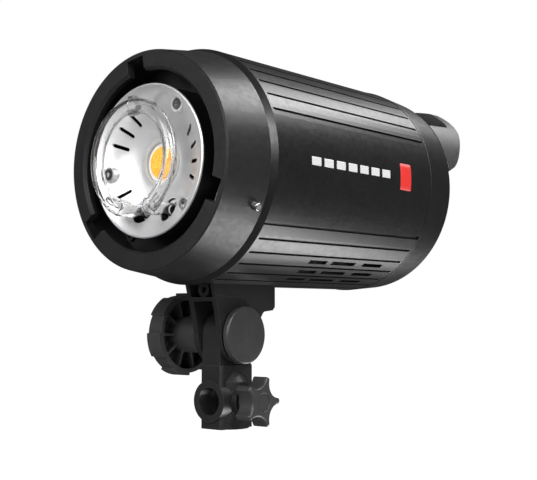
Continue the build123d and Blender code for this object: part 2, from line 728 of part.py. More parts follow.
# ---------------------------------------------------------------- reflector dish
def dish_surface(offset):
    """Points on the dish from the rim to the floor, moved back by an offset."""
    return (
        (DISH_R - 0.6, DISH_RIM_DEPTH + offset),
        (31.0, 7.4 + offset),
        (16.0, DISH_FLOOR_DEPTH + offset),
        (12.0, DISH_FLOOR_DEPTH + offset),
    )


with BuildPart() as reflector_dish:
    with BuildSketch(HEAD_SIDE):
        with BuildLine():
            front = dish_surface(0)
            back = dish_surface(DISH_T)
            Spline(*[(d, r) for r, d in front[:3]], tangents=[(0.35, -1), (0.05, -1)])
            Line((front[2][1], front[2][0]), (front[3][1], front[3][0]))
            Line((front[3][1], front[3][0]), (back[3][1], back[3][0]))
            Line((back[3][1], back[3][0]), (back[2][1], back[2][0]))
            Spline(*[(d, r) for r, d in reversed(back[:3])], tangents=[(-0.05, 1), (-0.35, 1)])
            Line((back[0][1], back[0][0]), (front[0][1], front[0][0]))
        make_face()
    revolve(axis=HEAD_AXIS)
    with BuildSketch(HEAD_SIDE):
        with Locations((DISH_RIM_DEPTH + 0.5, DISH_R - 0.6)):
            Circle(0.8)
    revolve(axis=HEAD_AXIS)
    with BuildSketch(head_face(-5)):
        for angle in SLOT_ANGLES:
            with Locations(Location((0, 0, 0), angle)):
                with Locations((30.0, 0)):
                    SlotOverall(9.0, 2.1)
        with Locations((LEG_X, LEG_Z), (-LEG_X, LEG_Z)):
            Circle(DISH_HOLE_R)
        with Locations((0, 31.5)):
            Circle(1.6)
    extrude(amount=-30, mode=Mode.SUBTRACT)
    with BuildSketch(head_face(DISH_BOSS_FRONT)):
        with Locations(*DISH_SCREW_SPOTS):
            Circle(DISH_BOSS_R)
    extrude(amount=-DISH_BOSS_H)
    with BuildSketch(head_face(0)):
        with Locations(*DISH_SCREW_SPOTS):
            Circle(3.3)
    extrude(amount=-DISH_SCREW_SEAT, mode=Mode.SUBTRACT)
    with BuildSketch(head_face(DISH_BOSS_FRONT)):
        with Locations(*DISH_SCREW_SPOTS):
            Circle(1.7)
    extrude(amount=-10, mode=Mode.SUBTRACT)
save(reflector_dish.part, "reflector_dish")

# The cup behind the dish carries it and is screwed to the bulkhead.
CUP_BACK = BULKHEAD_DEPTH
CUP_R = 41.9
CUP_BORE_R = 39.4
CUP_HOLE_R = 24.0
CUP_FLOOR = CUP_BACK - 2.0
CUP_LIP_DEPTH = 2.8
with BuildPart() as reflector_cup:
    with BuildSketch(HEAD_SIDE):
        with BuildLine():
            Polyline(
                (CUP_LIP_DEPTH, CUP_R - 0.8),
                (CUP_LIP_DEPTH, CUP_R),
                (CUP_BACK, CUP_R),
                (CUP_BACK, CUP_HOLE_R),
                (CUP_FLOOR, CUP_HOLE_R),
                (CUP_FLOOR, CUP_BORE_R),
                (6.0, CUP_BORE_R),
                close=True,
            )
        make_face()
    revolve(axis=HEAD_AXIS)
    with BuildSketch(head_face(CUP_FLOOR)):
        with Locations(*DISH_SCREW_SPOTS):
            Circle(3.2)
    extrude(amount=CUP_FLOOR - DISH_BOSS_FRONT)
    with BuildSketch(HEAD_SIDE):
        with BuildLine():
            cleared = [(d, r) for r, d in dish_surface(DISH_T + 0.05)[:3]]
            Spline(*cleared, tangents=[(0.35, -1), (0.05, -1)])
            Polyline(cleared[2], (cleared[2][0], 0), (-5, 0), (-5, cleared[0][1]), cleared[0])
        make_face()
    revolve(axis=HEAD_AXIS, mode=Mode.SUBTRACT)
    with BuildSketch(head_face(DISH_BOSS_FRONT)):
        with Locations(*DISH_SCREW_SPOTS):
            Circle(DISH_BOSS_R + 0.05)
    extrude(amount=-DISH_BOSS_H, mode=Mode.SUBTRACT)
    with BuildSketch(head_face(0)):
        with Locations(*DISH_SCREW_SPOTS):
            Circle(1.3)
    extrude(amount=-CUP_FLOOR, mode=Mode.SUBTRACT)
    with BuildSketch(head_face(CUP_BACK)):
        for side in (-1, 1):
            with Locations((side * TUBE_END_X, TUBE_END_Z)):
                Circle(2.2)
    extrude(amount=2, mode=Mode.SUBTRACT)
save(reflector_cup.part, "reflector_cup")

dish_screw_planes = [
    Plane(origin=(x, FRONT_Y + DISH_SCREW_SEAT, HEAD_Z + z), x_dir=(1, 0, 0), z_dir=(0, -1, 0))
    for x, z in DISH_SCREW_SPOTS
]
save(screw_solids(dish_screw_planes, 1.25, 15, 3.0, 1.8), "dish_screws")

# ---------------------------------------------------------------- flash tube
LEG_END_DEPTH = 20.0
SOCKET_FRONT = 13.8
# The glass is a ring broken at the bottom, with its two ends turned back through the dish.
with BuildPart() as flash_tube:
    with BuildLine() as ring_path:
        CenterArc((0, 0), FLASH_RING_R, TUBE_END_ANGLE, 320)
    path = head_face(FLASH_DEPTH) * ring_path.line
    with BuildSketch(Plane(origin=path @ 0, z_dir=path % 0)):
        Circle(FLASH_TUBE_R)
    sweep(path=path)
    for side in (-1, 1):
        x = side * TUBE_END_X
        with Locations(head_face(FLASH_DEPTH).from_local_coords((x, TUBE_END_Z, 0))):
            Sphere(FLASH_TUBE_R)
        with BuildSketch(head_face(FLASH_DEPTH)):
            with Locations((x, TUBE_END_Z)):
                Circle(FLASH_TUBE_R)
        extrude(amount=-(LEG_END_DEPTH - FLASH_DEPTH))
save(flash_tube.part, "flash_tube")

# Push-in sockets behind the dish for the two ends of the flash tube.
with BuildPart() as tube_sockets:
    for side in (-1, 1):
        x = side * TUBE_END_X
        with BuildSketch(head_face(SOCKET_FRONT)):
            with Locations((x, TUBE_END_Z)):
                Circle(6.0)
        extrude(amount=-(CUP_FLOOR - SOCKET_FRONT))
        with BuildSketch(head_face(SOCKET_FRONT)):
            with Locations((x, TUBE_END_Z)):
                Circle(FLASH_TUBE_R)
        extrude(amount=-(LEG_END_DEPTH - SOCKET_FRONT), mode=Mode.SUBTRACT)
        with BuildSketch(head_face(CUP_FLOOR)):
            with Locations((x, TUBE_END_Z)):
                Rectangle(3.0, 1.0)
        extrude(amount=-8)
save(tube_sockets.part, "tube_sockets")

# A sprung saddle that holds the top of the glass ring.
CLIP_REAR = FLASH_DEPTH + FLASH_TUBE_R + 0.6
CLIP_STRIP_END = 12.0
CLIP_STRIP_R = 31.5
with BuildPart() as tube_clip:
    with BuildSketch(HEAD_SIDE):
        with Locations((FLASH_DEPTH, FLASH_RING_R)):
            Circle(FLASH_TUBE_R + 1.2)
            Circle(FLASH_TUBE_R + 0.2, mode=Mode.SUBTRACT)
            with Locations((-5.2, 0)):
                Rectangle(6.0, 12, mode=Mode.SUBTRACT)
    extrude(amount=1.8, both=True)
    with BuildSketch(HEAD_SIDE):
        with Locations(((CLIP_REAR + CLIP_STRIP_END) / 2, CLIP_STRIP_R)):
            Rectangle(CLIP_STRIP_END - CLIP_REAR, 1.2)
    extrude(amount=1.0, both=True)
    with BuildSketch(HEAD_SIDE):
        with Locations((CLIP_REAR + 0.3, 30.2)):
            Rectangle(1.0, 3.8)
    extrude(amount=1.0, both=True)
save(tube_clip.part, "tube_clip")

# ---------------------------------------------------------------- modelling lamp
LED_FRONT = DISH_FLOOR_DEPTH + DISH_T
LED_BOARD_T = 1.6
LED_R = 9.0
HOLDER_BORE_R = 11.2
HOLDER_R = 14.2
HOLDER_NECK_R = 11.8
HOLDER_T = 1.0
with BuildPart() as led_board:
    with BuildSketch(head_face(LED_FRONT)):
        Rectangle(23.5, 23.5)
    extrude(amount=-LED_BOARD_T)
save(led_board.part, "led_board")

with BuildPart() as led_phosphor:
    with BuildSketch(head_face(LED_FRONT)):
        Circle(LED_R)
    extrude(amount=0.8)
save(led_phosphor.part, "led_phosphor")

with BuildPart() as led_holder:
    with BuildSketch(HEAD_SIDE):
        with BuildLine():
            Polyline(
                (LED_FRONT, HOLDER_BORE_R),
                (LED_FRONT, HOLDER_NECK_R),
                (DISH_FLOOR_DEPTH, HOLDER_NECK_R),
                (DISH_FLOOR_DEPTH, HOLDER_R),
                (DISH_FLOOR_DEPTH - 0.6, HOLDER_R),
                (DISH_FLOOR_DEPTH - HOLDER_T, HOLDER_R - 0.4),
                (DISH_FLOOR_DEPTH - HOLDER_T, HOLDER_BORE_R + 0.4),
                (DISH_FLOOR_DEPTH - 0.6, HOLDER_BORE_R),
                close=True,
            )
        make_face()
    revolve(axis=HEAD_AXIS)
save(led_holder.part, "led_holder")

SINK_FRONT = LED_FRONT + LED_BOARD_T
SINK_W = 33.0
SINK_BASE = 5.0
FIN_COUNT = 9
FIN_T = 1.5
FIN_H = 17.0
with BuildPart() as led_heatsink:
    with BuildSketch(head_face(SINK_FRONT)):
        Rectangle(SINK_W, SINK_W)
    extrude(amount=-SINK_BASE)
    with BuildSketch(head_face(SINK_FRONT + SINK_BASE)):
        with GridLocations((SINK_W - FIN_T) / (FIN_COUNT - 1), 0, FIN_COUNT, 1):
            Rectangle(FIN_T, SINK_W)
    extrude(amount=-FIN_H)
    with BuildSketch(head_face(SINK_FRONT)):
        for side in (-1, 1):
            with Locations((side * TUBE_END_X, TUBE_END_Z)):
                Circle(7.2)
    extrude(amount=-30, mode=Mode.SUBTRACT)
save(led_heatsink.part, "led_heatsink")

# ---------------------------------------------------------------- release pin and lock bolt
PIN_SHOULDER_R = 3.6
with BuildPart() as release_pin:
    with BuildSketch(radial_side(PIN_ANGLE)):
        with BuildLine():
            Polyline(
                (PIN_DEPTH, 52.1),
                (PIN_DEPTH + 0.5, 52.1),
                (PIN_DEPTH + PIN_R, 54.0),
                (PIN_DEPTH + PIN_R, 56.0),
                (PIN_DEPTH + PIN_SHOULDER_R, 56.0),
                (PIN_DEPTH + PIN_SHOULDER_R, 57.4),
                (PIN_DEPTH + PIN_R, 57.4),
                (PIN_DEPTH + PIN_R, 67.4),
                (PIN_DEPTH + PIN_R - 0.6, 68.0),
                (PIN_DEPTH, 68.0),
                close=True,
            )
        make_face()
    pin_direction = (cos(radians(PIN_ANGLE)), 0, sin(radians(PIN_ANGLE)))
    revolve(axis=Axis((0, FRONT_Y + PIN_DEPTH, HEAD_Z), pin_direction))
save(release_pin.part, "release_pin")

BOLT_W = 8.0
with BuildPart() as lock_bolt:
    with BuildSketch(radial_side(PIN_ANGLE)):
        with BuildLine():
            Polyline(
                (6.0, 52.5),
                (6.0, 57.0),
                (16.5, 57.0),
                (16.5, 48.5),
                (20.7, 48.5),
                (29.2, 57.0),
                (32.0, 57.0),
                (32.0, 45.6),
                (13.5, 45.6),
                (13.5, 52.5),
                close=True,
            )
        make_face()
    extrude(amount=BOLT_W / 2, both=True)
save(lock_bolt.part, "lock_bolt")

# ---------------------------------------------------------------- cooling fan
FAN_DEPTH = 44.0
FAN_T = 15.0
FAN_BORE_R = 28.0
FAN_SIZE = 60.0
FAN_SPIDER_T = 1.8
FAN_PIN_R = 2.0
BLADE_COUNT = 7
with BuildPart() as fan_frame:
    with BuildSketch(head_face(FAN_DEPTH)):
        RectangleRounded(FAN_SIZE, FAN_SIZE, 3)
        Circle(FAN_BORE_R, mode=Mode.SUBTRACT)
        with GridLocations(50, 50, 2, 2):
            Circle(2.1, mode=Mode.SUBTRACT)
    extrude(amount=-FAN_T)
    with BuildSketch(head_face(FAN_DEPTH)):
        Circle(11.0)
        for angle in (45, 135, 225, 315):
            with Locations(Location((0, 0, 0), angle)):
                with Locations((19.8, 0)):
                    Rectangle(19.6, 2.4)
    extrude(amount=-FAN_SPIDER_T)
    with BuildSketch(head_face(FAN_DEPTH + FAN_SPIDER_T)):
        Circle(FAN_PIN_R)
    extrude(amount=-10)
save(fan_frame.part, "fan_frame")

FAN_HUB_R = 12.0
with BuildPart() as fan_rotor:
    with BuildSketch(head_face(FAN_DEPTH + 3.0)):
        Circle(FAN_HUB_R)
        Circle(FAN_PIN_R + RUN_FIT, mode=Mode.SUBTRACT)
    extrude(amount=-11.0)
    for i in range(BLADE_COUNT):
        turn = i * 360 / BLADE_COUNT
        blade_plane = radial_face(turn, FAN_HUB_R - 0.6, FAN_DEPTH + 8.5)
        with BuildSketch(blade_plane):
            with Locations(Location((0, 0, 0), 38)):
                SlotOverall(11.5, 1.3)
        extrude(amount=15.2)
save(fan_rotor.part, "fan_rotor")

# ---------------------------------------------------------------- chassis and electronics
CHASSIS_Z = -41.0
CHASSIS_T = 1.5
FAN_FLANGE_TOP = -20.0
BOARD_Y = FRONT_Y + 121
BOARD_POST_H = 5.0
BOARD_Z = HEAD_Z + CHASSIS_Z + CHASSIS_T + BOARD_POST_H
BOARD_T = 1.6
BOARD_TOP = BOARD_Z + BOARD_T
with BuildPart() as chassis:
    with BuildSketch(Plane.XY.offset(HEAD_Z + CHASSIS_Z)):
        with Locations((0, FRONT_Y + 113.5)):
            Rectangle(90, 145)
    extrude(amount=CHASSIS_T)
    with BuildSketch(Plane.XY.offset(HEAD_Z + CHASSIS_Z)):
        with Locations((0, BOARD_Y)):
            with GridLocations(70, 108, 2, 2):
                RegularPolygon(radius=3.0, side_count=6)
    extrude(amount=CHASSIS_T + BOARD_POST_H)
    with BuildSketch(head_face(FAN_DEPTH + FAN_T)):
        with Locations((0, (CHASSIS_Z + FAN_FLANGE_TOP) / 2)):
            Rectangle(64, FAN_FLANGE_TOP - CHASSIS_Z)
        Circle(FAN_BORE_R, mode=Mode.SUBTRACT)
    extrude(amount=-CHASSIS_T)
save(chassis.part, "chassis")

with BuildPart() as power_board:
    with BuildSketch(Plane.XY.offset(BOARD_Z)):
        with Locations((0, BOARD_Y)):
            Rectangle(82, 120)
    extrude(amount=BOARD_T)
save(power_board.part, "power_board")

CAPACITOR_R = 17.5
CAPACITOR_PITCH = 2 * CAPACITOR_R + 0.2
CAPACITOR_LOW_Z = BOARD_TOP - HEAD_Z + CAPACITOR_R
CAPACITOR_SPOTS = tuple(
    (side * CAPACITOR_PITCH / 2, CAPACITOR_LOW_Z + row * CAPACITOR_PITCH)
    for row in (0, 1)
    for side in (-1, 1)
)
CAPACITOR_FRONT = 70.0
CAPACITOR_LENGTH = 78.0
with BuildPart() as capacitors:
    with BuildSketch(head_face(CAPACITOR_FRONT)):
        with Locations(*CAPACITOR_SPOTS):
            Circle(CAPACITOR_R)
    extrude(amount=-CAPACITOR_LENGTH)
    with BuildSketch(head_face(CAPACITOR_FRONT + CAPACITOR_LENGTH)):
        for x, z in CAPACITOR_SPOTS:
            with Locations((x - 5, z), (x + 5, z)):
                Circle(2.4)
    extrude(amount=-4)
save(capacitors.part, "capacitors")

TRANSFORMER_SPOT = (-18.0, FRONT_Y + 169.0)
with BuildPart() as transformer:
    with BuildSketch(Plane.XY.offset(BOARD_TOP)):
        with Locations(TRANSFORMER_SPOT):
            Rectangle(30, 20)
    extrude(amount=26)
    with BuildSketch(Plane.XY.offset(BOARD_TOP + 4)):
        with Locations(TRANSFORMER_SPOT):
            RectangleRounded(24, 22.6, 4)
    extrude(amount=18)
save(transformer.part, "transformer")

# ---------------------------------------------------------------- tilt bracket on the head
WEB_TOP = -74.2
WEB_BOTTOM = -76.4
BRACKET_FRONT_Y = FRONT_Y + 42.7
BRACKET_BACK_Y = 30.6
BRACKET_TOP = -60.0
BRACKET_CUT_FROM = 30.0
BRACKET_CUT_LENGTH = 80.0
FRONT_SCREW_Z = -69.9
BRACKET_SCREW_R = 2.0
with BuildPart() as tilt_bracket:
    with BuildSketch(side_face(0, HEAD_Z)):
        with BuildLine():
            Polyline(
                (BRACKET_FRONT_Y, BRACKET_TOP),
                (BRACKET_FRONT_Y, -65),
                (-19.2, -82.6),
                (-CHEEK_R, PIVOT_DROP + 1),
            )
            ThreePointArc(
                (-CHEEK_R, PIVOT_DROP + 1),
                (0, PIVOT_DROP - CHEEK_R),
                (CHEEK_R, PIVOT_DROP + 1),
            )
            Polyline((CHEEK_R, PIVOT_DROP + 1), (CHEEK_R + 0.5, -86.5), (19.0, -84.0))
            ThreePointArc((19.0, -84.0), (20.2, -82.8), (22.2, -82.3))
            Polyline(
                (22.2, -82.3),
                (28.6, -81.6),
                (BRACKET_BACK_Y, -79.6),
                (BRACKET_BACK_Y, BRACKET_TOP),
                (BRACKET_FRONT_Y, BRACKET_TOP),
            )
        make_face()
    extrude(amount=BRACKET_HALF, both=True)
    with BuildSketch(head_face(BRACKET_CUT_FROM)):
        Circle(TUBE_R)
    extrude(amount=-BRACKET_CUT_LENGTH, mode=Mode.SUBTRACT)
    with BuildSketch(head_face(BRACKET_CUT_FROM)):
        with Locations((0, WEB_BOTTOM - 25)):
            Rectangle(2 * CHEEK_INNER, 50)
    extrude(amount=-BRACKET_CUT_LENGTH, mode=Mode.SUBTRACT)
    with BuildSketch(head_face(BRACKET_CUT_FROM)):
        with Locations((0, (WEB_TOP + BRACKET_TOP) / 2)):
            Rectangle(2 * 8.6, BRACKET_TOP - WEB_TOP)
    extrude(amount=-24, mode=Mode.SUBTRACT)
    with BuildSketch(head_face(46.8)):
        with Locations((0, FRONT_SCREW_Z)):
            Circle(4.2)
            Circle(2.0, mode=Mode.SUBTRACT)
    extrude(amount=-8)
    with BuildSketch(head_face(BRACKET_CUT_FROM)):
        Circle(TUBE_R)
    extrude(amount=-BRACKET_CUT_LENGTH, mode=Mode.SUBTRACT)
    for side in (-1, 1):
        with BuildSketch(side_face(side * (BRACKET_HALF - CHEEK_STEP), HEAD_Z)):
            with BuildLine():
                Polyline(
                    (-40, -71.6),
                    (1.2, -74.6),
                    (1.2, PIVOT_DROP + 10),
                    (-10, PIVOT_DROP),
                    (-10, -130),
                    (-40, -130),
                    close=True,
                )
            make_face()
        extrude(amount=side * 5, mode=Mode.SUBTRACT)
    with BuildSketch(side_face(0, HEAD_Z)):
        with Locations((0, PIVOT_DROP)):
            Circle(PIVOT_R + RUN_FIT)
    extrude(amount=20, both=True, mode=Mode.SUBTRACT)
    with BuildSketch(Plane.XY.offset(HEAD_Z - 80)):
        for depth, x in BRACKET_SCREW_SPOTS:
            with Locations((x, FRONT_Y + depth)):
                Circle(2.05)
    extrude(amount=20, mode=Mode.SUBTRACT)
save(tilt_bracket.part, "tilt_bracket")

bracket_screw_planes = [
    Plane(origin=(x, FRONT_Y + depth, HEAD_Z - sqrt(TUBE_BORE_R**2 - 9.5**2)), z_dir=(0, 0, 1))
    for depth, x in BRACKET_SCREW_SPOTS
]
save(screw_solids(bracket_screw_planes, 2.0, 10.5, 3.6, 3.2), "bracket_screws")

with BuildPart() as bracket_front_screw:
    with BuildSketch(head_face(48.6)):
        with Locations((0, FRONT_SCREW_Z)):
            Circle(1.95)
            RegularPolygon(radius=1.1, side_count=6, mode=Mode.SUBTRACT)
    extrude(amount=-5)
save(bracket_front_screw.part, "bracket_front_screw")

# ---------------------------------------------------------------- tilt pivot, its cap and knob
with BuildPart() as pivot_bolt:
    with BuildSketch(side_face(KNOB_FAR_X + 5, PIVOT_Z)):
        Circle(PIVOT_R)
    extrude(amount=BRACKET_HALF - KNOB_FAR_X - 5)
    with BuildSketch(side_face(BRACKET_HALF, PIVOT_Z)):
        RegularPolygon(radius=6.8, side_count=6)
    extrude(amount=3.6)
save(pivot_bolt.part, "pivot_bolt")

CAP_R = 16.7
CAP_TOP = 16.6
CAP_EDGE = 15.7
CAP_RIM_X = 12.1
CAP_SEAT_X = 15.0
CAP_BORE_R = 7.4
CAP_DOME_R = ((CAP_R - 0.8) ** 2 + (CAP_TOP - CAP_EDGE) ** 2) / (2 * (CAP_TOP - CAP_EDGE))
CAP_HALFWAY = CAP_TOP - CAP_DOME_R + sqrt(CAP_DOME_R**2 - CAP_R**2 / 4)
with BuildPart() as pivot_cap:
    with BuildSketch(Plane(origin=(0, 0, PIVOT_Z), x_dir=(1, 0, 0), z_dir=(0, -1, 0))):
        with BuildLine():
            Polyline(
                (BRACKET_HALF, CAP_BORE_R),
                (BRACKET_HALF, CAP_R - 1.4),
                (CAP_RIM_X, CAP_R - 1.4),
                (CAP_RIM_X, CAP_R),
                (CAP_SEAT_X, CAP_R),
                (CAP_EDGE, CAP_R - 0.8),
            )
            ThreePointArc((CAP_EDGE, CAP_R - 0.8), (CAP_HALFWAY, CAP_R / 2), (CAP_TOP, 0))
            Polyline((CAP_TOP, 0), (CAP_SEAT_X, 0), (CAP_SEAT_X, CAP_BORE_R), (BRACKET_HALF, CAP_BORE_R))
        make_face()
    revolve(axis=Axis((0, 0, PIVOT_Z), (1, 0, 0)))
save(pivot_cap.part, "pivot_cap")

KNOB_WEB_X = KNOB_FAR_X + 3.0
KNOB_BORE_R = KNOB_R - 3.9
KNOB_PADS = 6
KNOB_RIBS = 10
with BuildPart() as tilt_knob:
    with BuildSketch(side_face(KNOB_FAR_X, PIVOT_Z)):
        Circle(KNOB_R - 1.5)
        for i in range(KNOB_PADS):
            with BuildLine():
                half = radians(17.0)
                middle = radians(360 / KNOB_PADS * i + 15)
                a = (KNOB_R * cos(middle - half), KNOB_R * sin(middle - half))
                m = (KNOB_R * cos(middle), KNOB_R * sin(middle))
                b = (KNOB_R * cos(middle + half), KNOB_R * sin(middle + half))
                Line((0, 0), a)
                ThreePointArc(a, m, b)
                Line(b, (0, 0))
            make_face()
    extrude(amount=KNOB_RIM_X - KNOB_FAR_X)
    fillet(tilt_knob.faces().sort_by(Axis.X)[0].outer_wire().edges(), radius=1.2)
    with BuildSketch(side_face(KNOB_WEB_X, PIVOT_Z)):
        Circle(KNOB_BORE_R)
        Circle(KNOB_HUB_R, mode=Mode.SUBTRACT)
    extrude(amount=20, mode=Mode.SUBTRACT)
    with BuildSketch(side_face(KNOB_WEB_X, PIVOT_Z)):
        for i in range(KNOB_RIBS):
            with Locations(Location((0, 0, 0), 360 / KNOB_RIBS * i)):
                with Locations(((KNOB_HUB_R + KNOB_BORE_R) / 2, 0)):
                    Rectangle(KNOB_BORE_R - KNOB_HUB_R + 1.0, 1.3)
    extrude(amount=6.5)
    with BuildSketch(side_face(KNOB_RIM_X, PIVOT_Z)):
        Circle(KNOB_HUB_R)
    extrude(amount=KNOB_HUB_X - KNOB_RIM_X)
    with BuildSketch(side_face(KNOB_FAR_X + 4.6, PIVOT_Z)):
        Circle(PIVOT_R + RUN_FIT)
    extrude(amount=40, mode=Mode.SUBTRACT)
save(tilt_knob.part, "tilt_knob")

with BuildPart() as thrust_washer:
    with BuildSketch(side_face(KNOB_HUB_X + 0.1, PIVOT_Z)):
        Circle(11.6)
        Circle(PIVOT_R + 0.3, mode=Mode.SUBTRACT)
    extrude(amount=1.4)
save(thrust_washer.part, "thrust_washer")

# ---------------------------------------------------------------- stand adapter
BARREL_R = 13.0
BARREL_TOP = 27.0
INSERT_R = 6.0
INSERT_T = 3.8
CLAMP_BOSS_R = 9.0
WASHER_T = 0.5
with BuildPart() as stand_block:
    with BuildSketch(Plane.XY):
        RectangleRounded(2 * BLOCK_HALF_X, 2 * BLOCK_HALF_Y, 2.0)
    extrude(amount=SHELF_Z)
    with BuildSketch(Plane.XY):
        Circle(BARREL_R)
    extrude(amount=BARREL_TOP)
    with BuildSketch(Plane.XY.offset(BARREL_TOP)):
        Circle(BARREL_R)
    with BuildSketch(Plane.XY.offset(35.0)):
        Circle(7.0)
    loft()
    with BuildSketch(side_face(0, 0)):
        with Locations((0, PIVOT_Z)):
            Circle(TONGUE_R)
        with Locations((0, (PIVOT_Z + 30) / 2)):
            Rectangle(2 * TONGUE_R, PIVOT_Z - 30)
    extrude(amount=TONGUE_HALF, both=True)
    with BuildSketch(Plane(origin=(0, -CROSS_HALF, CROSS_Z), x_dir=(1, 0, 0), z_dir=(0, -1, 0))):
        Circle(CROSS_R)
    extrude(amount=-2 * CROSS_HALF)
    with BuildSketch(side_face(0, CROSS_Z)):
        Circle(CLAMP_BOSS_R)
    extrude(amount=CLAMP_BOSS_X)
    with BuildSketch(Plane.XY):
        Circle(SOCKET_R)
    extrude(amount=SOCKET_DEPTH, mode=Mode.SUBTRACT)
    with BuildSketch(Plane(origin=(0, -CROSS_HALF, CROSS_Z), x_dir=(1, 0, 0), z_dir=(0, -1, 0))):
        Circle(SOCKET_R)
    extrude(amount=-2 * CROSS_HALF, mode=Mode.SUBTRACT)
    with BuildSketch(side_face(0, CROSS_Z)):
        Circle(CLAMP_R + RUN_FIT)
    extrude(amount=CLAMP_BOSS_X, mode=Mode.SUBTRACT)
    with BuildSketch(side_face(CLAMP_BOSS_X, CROSS_Z)):
        Circle(INSERT_R)
    extrude(amount=-INSERT_T, mode=Mode.SUBTRACT)
    with BuildSketch(side_face(0, PIVOT_Z)):
        Circle(PIVOT_R + RUN_FIT)
    extrude(amount=20, both=True, mode=Mode.SUBTRACT)
save(stand_block.part, "stand_block")

with BuildPart() as friction_washers:
    for side in (-1, 1):
        low = TONGUE_HALF if side > 0 else -TONGUE_HALF - WASHER_T
        with BuildSketch(side_face(low, PIVOT_Z)):
            Circle(12.8)
            Circle(PIVOT_R + 0.3, mode=Mode.SUBTRACT)
        extrude(amount=WASHER_T)
save(friction_washers.part, "friction_washers")

with BuildPart() as thread_insert:
    with BuildSketch(side_face(CLAMP_BOSS_X - INSERT_T, CROSS_Z)):
        Circle(INSERT_R)
        Circle(CLAMP_R + RUN_FIT, mode=Mode.SUBTRACT)
    extrude(amount=INSERT_T)
save(thread_insert.part, "thread_insert")

PAD_X = SOCKET_R + 0.3
SCREW_X = PAD_X + 2.7
STAR_SCREW_END = STAR_FAR_X - 4.0
STAR_CAP_R = 5.2
STAR_CAP_RECESS = 1.6
with BuildPart() as clamp_pad:
    with BuildSketch(side_face(PAD_X, CROSS_Z)):
        Circle(CLAMP_R - 0.05)
    extrude(amount=2.6)
save(clamp_pad.part, "clamp_pad")

with BuildPart() as clamp_screw:
    with BuildSketch(side_face(SCREW_X, CROSS_Z)):
        Circle(CLAMP_R)
    extrude(amount=STAR_SCREW_END - SCREW_X)
save(clamp_screw.part, "clamp_screw")

with BuildPart() as star_knob:
    with BuildSketch(side_face(STAR_NEAR_X, CROSS_Z)):
        Circle(STAR_R)
        with PolarLocations(17.6, 5, start_angle=36):
            Circle(8.6, mode=Mode.SUBTRACT)
    extrude(amount=STAR_FAR_X - STAR_NEAR_X)
    fillet(star_knob.edges().filter_by(Axis.X), radius=1.2)
    fillet(star_knob.faces().sort_by(Axis.X)[-1].outer_wire().edges(), radius=1.6)
    with BuildSketch(side_face(CLAMP_BOSS_X + 0.6, CROSS_Z)):
        Circle(7.4)
    extrude(amount=STAR_NEAR_X - CLAMP_BOSS_X - 0.6)
    with BuildSketch(side_face(STAR_FAR_X, CROSS_Z)):
        Circle(STAR_CAP_R)
    extrude(amount=-STAR_CAP_RECESS, mode=Mode.SUBTRACT)
    with BuildSketch(side_face(0, CROSS_Z)):
        Circle(CLAMP_R)
    extrude(amount=STAR_SCREW_END, mode=Mode.SUBTRACT)
save(star_knob.part, "star_knob")

with BuildPart() as star_knob_cap:
    with BuildSketch(side_face(STAR_FAR_X - STAR_CAP_RECESS, CROSS_Z)):
        Circle(STAR_CAP_R - 0.05)
    extrude(amount=1.1)
save(star_knob_cap.part, "star_knob_cap")
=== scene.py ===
import json
from math import cos, pi, radians, sin

import bmesh
import bpy
from mathutils import Matrix, Vector, noise

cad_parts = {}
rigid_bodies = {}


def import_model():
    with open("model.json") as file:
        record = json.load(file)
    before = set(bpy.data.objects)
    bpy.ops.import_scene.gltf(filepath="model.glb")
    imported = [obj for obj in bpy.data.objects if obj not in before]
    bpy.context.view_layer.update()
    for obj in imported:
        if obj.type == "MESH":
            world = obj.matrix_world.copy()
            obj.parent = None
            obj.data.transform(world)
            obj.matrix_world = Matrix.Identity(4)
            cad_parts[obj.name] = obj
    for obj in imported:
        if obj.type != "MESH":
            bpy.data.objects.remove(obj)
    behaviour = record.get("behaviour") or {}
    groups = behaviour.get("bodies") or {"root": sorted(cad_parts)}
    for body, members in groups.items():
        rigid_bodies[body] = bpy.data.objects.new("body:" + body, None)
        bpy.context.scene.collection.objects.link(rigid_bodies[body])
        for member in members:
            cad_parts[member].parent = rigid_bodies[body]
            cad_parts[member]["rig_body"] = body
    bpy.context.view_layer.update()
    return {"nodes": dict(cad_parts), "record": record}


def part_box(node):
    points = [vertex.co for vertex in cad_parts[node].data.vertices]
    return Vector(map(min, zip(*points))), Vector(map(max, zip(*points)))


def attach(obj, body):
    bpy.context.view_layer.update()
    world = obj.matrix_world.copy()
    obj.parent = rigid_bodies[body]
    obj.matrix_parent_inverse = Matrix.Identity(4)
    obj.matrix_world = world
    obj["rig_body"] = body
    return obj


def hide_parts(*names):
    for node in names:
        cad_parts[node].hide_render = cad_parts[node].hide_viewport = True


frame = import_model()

# Looks of the monolight strobe: finished surfaces, the glass flash tube, soft studio light and the camera.
MM = 0.001

# ---------------------------------------------------------------- places read from the frame
ring_low, ring_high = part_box("bayonet_ring")
shell_low, shell_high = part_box("upper_shell")
tube_low, tube_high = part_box("flash_tube")
panel_low, panel_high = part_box("rear_panel")
display_low, display_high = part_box("display_window")
dial_low, dial_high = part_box("mode_dial")
HEAD_CENTRE = Vector((0, ring_low.y, (ring_low.z + ring_high.z) / 2))
HEAD_Z = HEAD_CENTRE.z
TUBE_R = (shell_high.x - shell_low.x) / 2
RING_TUBE_R = 4.2 * MM
FLASH_R = (tube_high.x - tube_low.x) / 2 - RING_TUBE_R
FLASH_Y = tube_low.y + RING_TUBE_R
FLASH_END_ANGLE = radians(-70)
LEG_END_Y = tube_high.y
# The glass is a little thinner than its CAD solid, which leaves room for the trigger wire round it.
GLASS_R = RING_TUBE_R - 0.35 * MM
WIRE_R = 0.16 * MM


